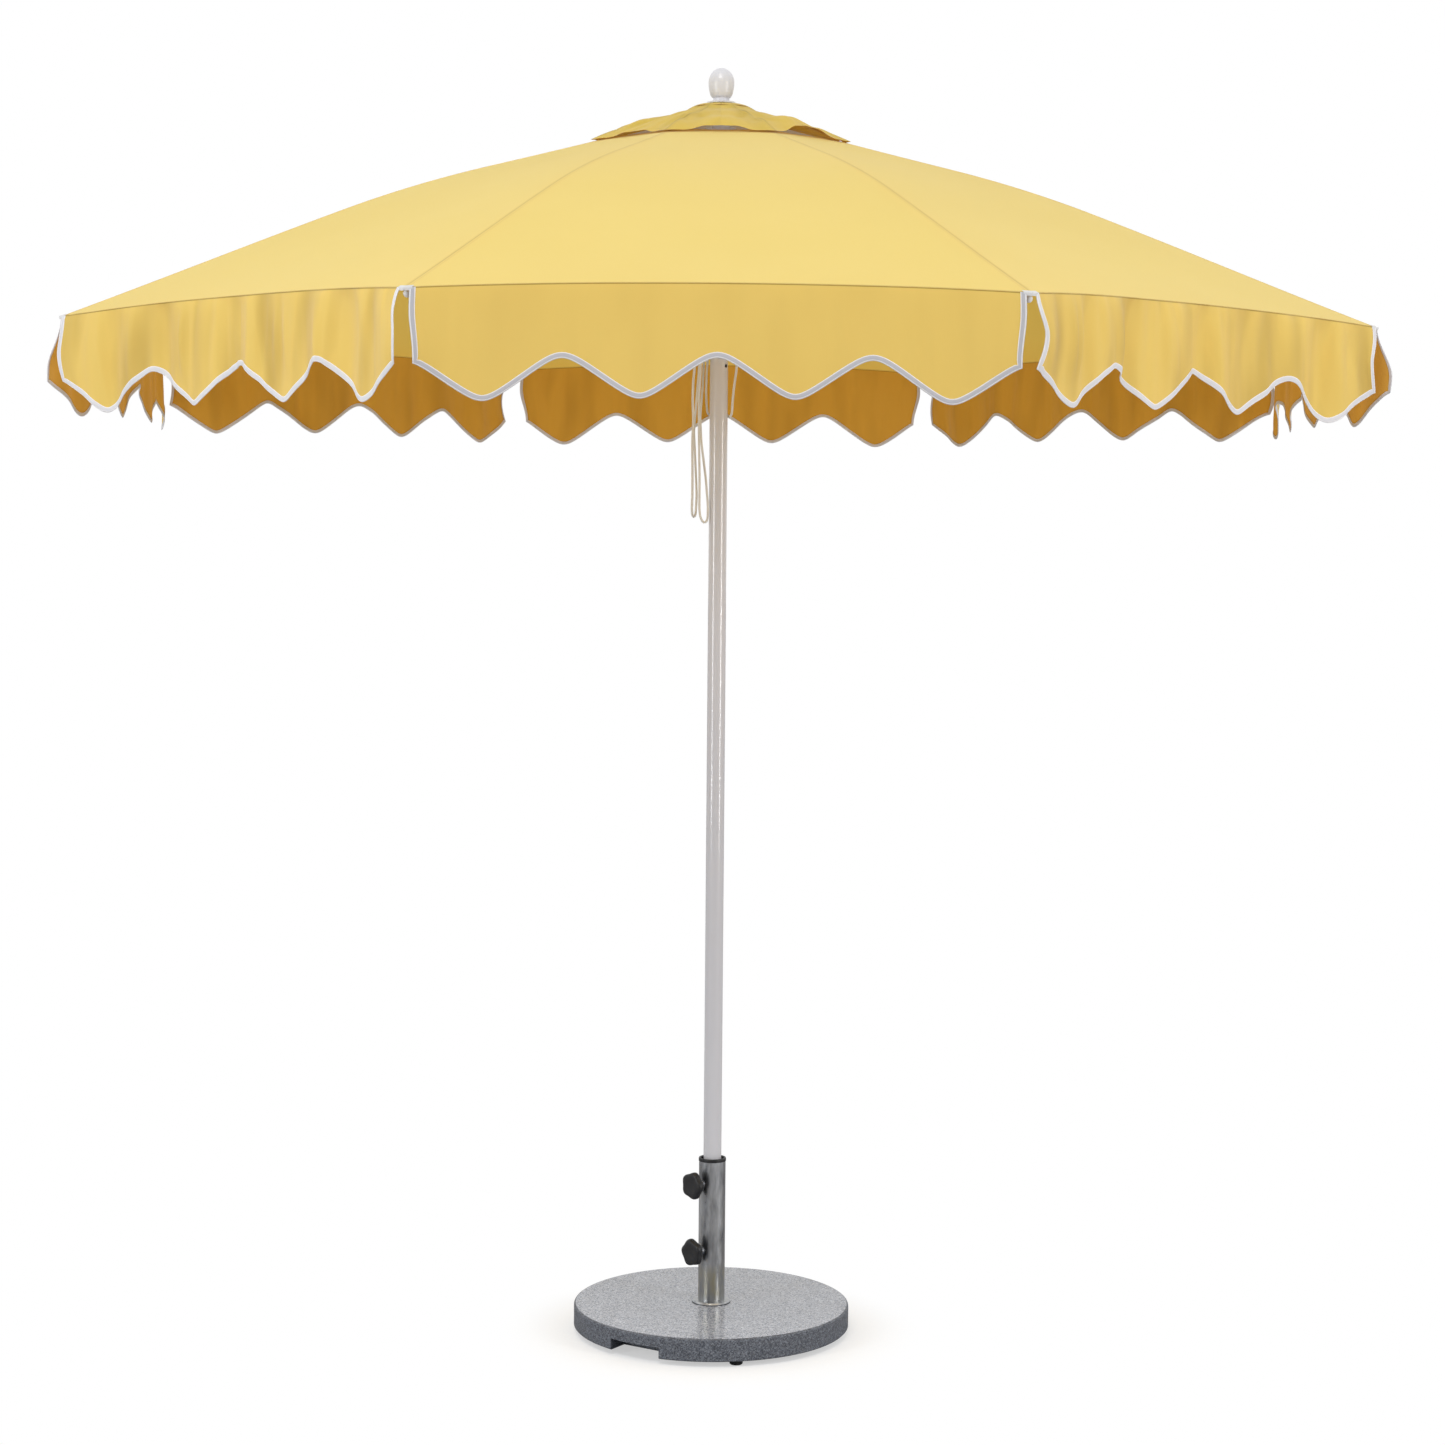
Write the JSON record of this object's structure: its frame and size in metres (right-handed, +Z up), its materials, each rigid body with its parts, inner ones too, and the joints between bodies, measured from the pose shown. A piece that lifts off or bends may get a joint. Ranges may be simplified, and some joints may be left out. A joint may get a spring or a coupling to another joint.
{
  "type": "beach umbrella",
  "caption": "Octagonal yellow beach umbrella with a scalloped valance and vent cap on a white mast, clamped in a steel socket on a round granite base.",
  "frame": {"origin": "on the ground under the feet, on the mast's axis", "axes": "+Z up along the mast; -Y towards the front, where one flat canopy panel faces; the ribs stand 22.5 degrees either side of each row axis"},
  "size_m": [2.5344, 2.5344, 2.681],
  "materials": {
    "canopy_cloth": "matt woven canvas",
    "rib_steel": "white powder coat",
    "white_pole": "smooth white powder coat",
    "white_plastic": "moulded",
    "grey_nylon": "moulded",
    "white_cord": "braided",
    "granite": "polished top, honed rim",
    "stainless": "brushed lengthwise",
    "screw_steel": "plain",
    "black_plastic": "satin",
    "black_rubber": "matt"
  },
  "bodies": {
    "base": {"base_stone": "granite", "base_feet": "black_rubber", "socket_tube": "stainless", "socket_flange": "stainless", "flange_gasket": "black_rubber", "flange_screws": "screw_steel", "socket_rim": "black_plastic", "pole_bushes": "black_plastic", "clamp_bosses": "stainless"},
    "upper_clamp_stud": {"upper_stud": "screw_steel"},
    "upper_clamp_knob": {"upper_knob": "black_plastic"},
    "lower_clamp_stud": {"lower_stud": "screw_steel"},
    "lower_clamp_knob": {"lower_knob": "black_plastic"},
    "mast": {"pole": "white_pole", "pole_foot": "black_plastic", "pole_plug": "screw_steel", "top_hub": "white_plastic", "hub_pins": "screw_steel", "pulley_axle": "screw_steel", "vent_cap": "canopy_cloth", "finial": "white_plastic", "hoist_cord": "white_cord"},
    "pulley": {"pulley_wheel": "grey_nylon"},
    "runner_slider": {"runner": "white_plastic", "cord_cleat": "white_plastic", "pull_cord": "white_cord", "cord_knot": "white_cord"},
    "rib_arm_1": {"rib_1": "rib_steel", "canopy_1": "canopy_cloth"},
    "strut_1": {"stretcher_1": "rib_steel"},
    "flap_1": {"valance_1": "canopy_cloth"},
    "rib_arm_2": {"rib_2": "rib_steel", "canopy_2": "canopy_cloth"},
    "strut_2": {"stretcher_2": "rib_steel"},
    "flap_2": {"valance_2": "canopy_cloth"},
    "rib_arm_3": {"rib_3": "rib_steel", "canopy_3": "canopy_cloth"},
    "strut_3": {"stretcher_3": "rib_steel"},
    "flap_3": {"valance_3": "canopy_cloth"},
    "rib_arm_4": {"rib_4": "rib_steel", "canopy_4": "canopy_cloth"},
    "strut_4": {"stretcher_4": "rib_steel"},
    "flap_4": {"valance_4": "canopy_cloth"},
    "rib_arm_5": {"rib_5": "rib_steel", "canopy_5": "canopy_cloth"},
    "strut_5": {"stretcher_5": "rib_steel"},
    "flap_5": {"valance_5": "canopy_cloth"},
    "rib_arm_6": {"rib_6": "rib_steel", "canopy_6": "canopy_cloth"},
    "strut_6": {"stretcher_6": "rib_steel"},
    "flap_6": {"valance_6": "canopy_cloth"},
    "rib_arm_7": {"rib_7": "rib_steel", "canopy_7": "canopy_cloth"},
    "strut_7": {"stretcher_7": "rib_steel"},
    "flap_7": {"valance_7": "canopy_cloth"},
    "rib_arm_8": {"rib_8": "rib_steel", "canopy_8": "canopy_cloth"},
    "strut_8": {"stretcher_8": "rib_steel"},
    "flap_8": {"valance_8": "canopy_cloth"}
  },
  "joints": [
    {"name": "upper_stud_slide", "type": "slide", "parent": "base", "child": "upper_clamp_stud", "axis": [-0.7431, -0.6691, 0], "range_m": [0, 0.0026]},
    {"name": "upper_knob_turn", "type": "hinge", "parent": "upper_clamp_stud", "child": "upper_clamp_knob", "pos_m": [-0.04087, -0.0368, 0.32], "axis": [-0.7431, -0.6691, 0], "range_deg": [0, 720]},
    {"name": "lower_stud_slide", "type": "slide", "parent": "base", "child": "lower_clamp_stud", "axis": [-0.7431, -0.6691, 0], "range_m": [0, 0.0026]},
    {"name": "lower_knob_turn", "type": "hinge", "parent": "lower_clamp_stud", "child": "lower_clamp_knob", "pos_m": [-0.04087, -0.0368, 0.175], "axis": [-0.7431, -0.6691, 0], "range_deg": [0, 720]},
    {"name": "mast_turn", "type": "hinge", "parent": "base", "child": "mast", "pos_m": [0, 0, 0.06], "axis": [0, 0, 1], "continuous": true},
    {"name": "runner_slide", "type": "slide", "parent": "mast", "child": "runner_slider", "axis": [0, 0, 1], "range_m": [-0.85345, 0], "deforming": ["canopy_1", "canopy_2", "canopy_3", "canopy_4", "canopy_5", "canopy_6", "canopy_7", "canopy_8", "valance_1", "valance_2", "valance_3", "valance_4", "valance_5", "valance_6", "valance_7", "valance_8", "hoist_cord", "pull_cord", "cord_knot"]},
    {"name": "pulley_spin", "type": "hinge", "parent": "mast", "child": "pulley", "pos_m": [0, 0, 2.52], "axis": [0, 1, 0], "range_deg": [0, 2040]},
    {"name": "rib_fold_1", "type": "hinge", "parent": "mast", "child": "rib_arm_1", "pos_m": [0.03511, 0.01454, 2.57047], "axis": [-0.3827, 0.9239, 0], "range_deg": [-0.5, 67]},
    {"name": "stretcher_fold_1", "type": "hinge", "parent": "rib_arm_1", "child": "strut_1", "pos_m": [0.58046, 0.24043, 2.37987], "axis": [-0.3827, 0.9239, 0], "range_deg": [-134, 1]},
    {"name": "valance_hang_1", "type": "hinge", "parent": "rib_arm_1", "child": "flap_1", "pos_m": [1.26719, 0.52489, 2.113], "axis": [-0.3827, 0.9239, 0], "range_deg": [-67, 0.5]},
    {"name": "rib_fold_2", "type": "hinge", "parent": "mast", "child": "rib_arm_2", "pos_m": [0.01454, 0.03511, 2.57047], "axis": [-0.9239, 0.3827, 0], "range_deg": [-0.5, 67]},
    {"name": "stretcher_fold_2", "type": "hinge", "parent": "rib_arm_2", "child": "strut_2", "pos_m": [0.24043, 0.58046, 2.37987], "axis": [-0.9239, 0.3827, 0], "range_deg": [-134, 1]},
    {"name": "valance_hang_2", "type": "hinge", "parent": "rib_arm_2", "child": "flap_2", "pos_m": [0.52489, 1.26719, 2.113], "axis": [-0.9239, 0.3827, 0], "range_deg": [-67, 0.5]},
    {"name": "rib_fold_3", "type": "hinge", "parent": "mast", "child": "rib_arm_3", "pos_m": [-0.01454, 0.03511, 2.57047], "axis": [-0.9239, -0.3827, 0], "range_deg": [-0.5, 67]},
    {"name": "stretcher_fold_3", "type": "hinge", "parent": "rib_arm_3", "child": "strut_3", "pos_m": [-0.24043, 0.58046, 2.37987], "axis": [-0.9239, -0.3827, 0], "range_deg": [-134, 1]},
    {"name": "valance_hang_3", "type": "hinge", "parent": "rib_arm_3", "child": "flap_3", "pos_m": [-0.52489, 1.26719, 2.113], "axis": [-0.9239, -0.3827, 0], "range_deg": [-67, 0.5]},
    {"name": "rib_fold_4", "type": "hinge", "parent": "mast", "child": "rib_arm_4", "pos_m": [-0.03511, 0.01454, 2.57047], "axis": [-0.3827, -0.9239, 0], "range_deg": [-0.5, 67]},
    {"name": "stretcher_fold_4", "type": "hinge", "parent": "rib_arm_4", "child": "strut_4", "pos_m": [-0.58046, 0.24043, 2.37987], "axis": [-0.3827, -0.9239, 0], "range_deg": [-134, 1]},
    {"name": "valance_hang_4", "type": "hinge", "parent": "rib_arm_4", "child": "flap_4", "pos_m": [-1.26719, 0.52489, 2.113], "axis": [-0.3827, -0.9239, 0], "range_deg": [-67, 0.5]},
    {"name": "rib_fold_5", "type": "hinge", "parent": "mast", "child": "rib_arm_5", "pos_m": [-0.03511, -0.01454, 2.57047], "axis": [0.3827, -0.9239, 0], "range_deg": [-0.5, 67]},
    {"name": "stretcher_fold_5", "type": "hinge", "parent": "rib_arm_5", "child": "strut_5", "pos_m": [-0.58046, -0.24043, 2.37987], "axis": [0.3827, -0.9239, 0], "range_deg": [-134, 1]},
    {"name": "valance_hang_5", "type": "hinge", "parent": "rib_arm_5", "child": "flap_5", "pos_m": [-1.26719, -0.52489, 2.113], "axis": [0.3827, -0.9239, 0], "range_deg": [-67, 0.5]},
    {"name": "rib_fold_6", "type": "hinge", "parent": "mast", "child": "rib_arm_6", "pos_m": [-0.01454, -0.03511, 2.57047], "axis": [0.9239, -0.3827, 0], "range_deg": [-0.5, 67]},
    {"name": "stretcher_fold_6", "type": "hinge", "parent": "rib_arm_6", "child": "strut_6", "pos_m": [-0.24043, -0.58046, 2.37987], "axis": [0.9239, -0.3827, 0], "range_deg": [-134, 1]},
    {"name": "valance_hang_6", "type": "hinge", "parent": "rib_arm_6", "child": "flap_6", "pos_m": [-0.52489, -1.26719, 2.113], "axis": [0.9239, -0.3827, 0], "range_deg": [-67, 0.5]},
    {"name": "rib_fold_7", "type": "hinge", "parent": "mast", "child": "rib_arm_7", "pos_m": [0.01454, -0.03511, 2.57047], "axis": [0.9239, 0.3827, 0], "range_deg": [-0.5, 67]},
    {"name": "stretcher_fold_7", "type": "hinge", "parent": "rib_arm_7", "child": "strut_7", "pos_m": [0.24043, -0.58046, 2.37987], "axis": [0.9239, 0.3827, 0], "range_deg": [-134, 1]},
    {"name": "valance_hang_7", "type": "hinge", "parent": "rib_arm_7", "child": "flap_7", "pos_m": [0.52489, -1.26719, 2.113], "axis": [0.9239, 0.3827, 0], "range_deg": [-67, 0.5]},
    {"name": "rib_fold_8", "type": "hinge", "parent": "mast", "child": "rib_arm_8", "pos_m": [0.03511, -0.01454, 2.57047], "axis": [0.3827, 0.9239, 0], "range_deg": [-0.5, 67]},
    {"name": "stretcher_fold_8", "type": "hinge", "parent": "rib_arm_8", "child": "strut_8", "pos_m": [0.58046, -0.24043, 2.37987], "axis": [0.3827, 0.9239, 0], "range_deg": [-134, 1]},
    {"name": "valance_hang_8", "type": "hinge", "parent": "rib_arm_8", "child": "flap_8", "pos_m": [1.26719, -0.52489, 2.113], "axis": [0.3827, 0.9239, 0], "range_deg": [-67, 0.5]}
  ],
  "couplings": [
    {"joint": "upper_stud_slide", "follows": "upper_knob_turn", "m_per_rad": 0.00019894},
    {"joint": "lower_stud_slide", "follows": "lower_knob_turn", "m_per_rad": 0.00019894},
    {"joint": "pulley_spin", "follows": "runner_slide", "rad_per_m": -41.667},
    {"joint": "rib_fold_1", "follows": "runner_slide", "rad_per_m": -1.3599},
    {"joint": "stretcher_fold_1", "follows": "runner_slide", "rad_per_m": 2.7199},
    {"joint": "valance_hang_1", "follows": "runner_slide", "rad_per_m": 1.3599},
    {"joint": "rib_fold_2", "follows": "runner_slide", "rad_per_m": -1.3599},
    {"joint": "stretcher_fold_2", "follows": "runner_slide", "rad_per_m": 2.7199},
    {"joint": "valance_hang_2", "follows": "runner_slide", "rad_per_m": 1.3599},
    {"joint": "rib_fold_3", "follows": "runner_slide", "rad_per_m": -1.3599},
    {"joint": "stretcher_fold_3", "follows": "runner_slide", "rad_per_m": 2.7199},
    {"joint": "valance_hang_3", "follows": "runner_slide", "rad_per_m": 1.3599},
    {"joint": "rib_fold_4", "follows": "runner_slide", "rad_per_m": -1.3599},
    {"joint": "stretcher_fold_4", "follows": "runner_slide", "rad_per_m": 2.7199},
    {"joint": "valance_hang_4", "follows": "runner_slide", "rad_per_m": 1.3599},
    {"joint": "rib_fold_5", "follows": "runner_slide", "rad_per_m": -1.3599},
    {"joint": "stretcher_fold_5", "follows": "runner_slide", "rad_per_m": 2.7199},
    {"joint": "valance_hang_5", "follows": "runner_slide", "rad_per_m": 1.3599},
    {"joint": "rib_fold_6", "follows": "runner_slide", "rad_per_m": -1.3599},
    {"joint": "stretcher_fold_6", "follows": "runner_slide", "rad_per_m": 2.7199},
    {"joint": "valance_hang_6", "follows": "runner_slide", "rad_per_m": 1.3599},
    {"joint": "rib_fold_7", "follows": "runner_slide", "rad_per_m": -1.3599},
    {"joint": "stretcher_fold_7", "follows": "runner_slide", "rad_per_m": 2.7199},
    {"joint": "valance_hang_7", "follows": "runner_slide", "rad_per_m": 1.3599},
    {"joint": "rib_fold_8", "follows": "runner_slide", "rad_per_m": -1.3599},
    {"joint": "stretcher_fold_8", "follows": "runner_slide", "rad_per_m": 2.7199},
    {"joint": "valance_hang_8", "follows": "runner_slide", "rad_per_m": 1.3599}
  ]
}
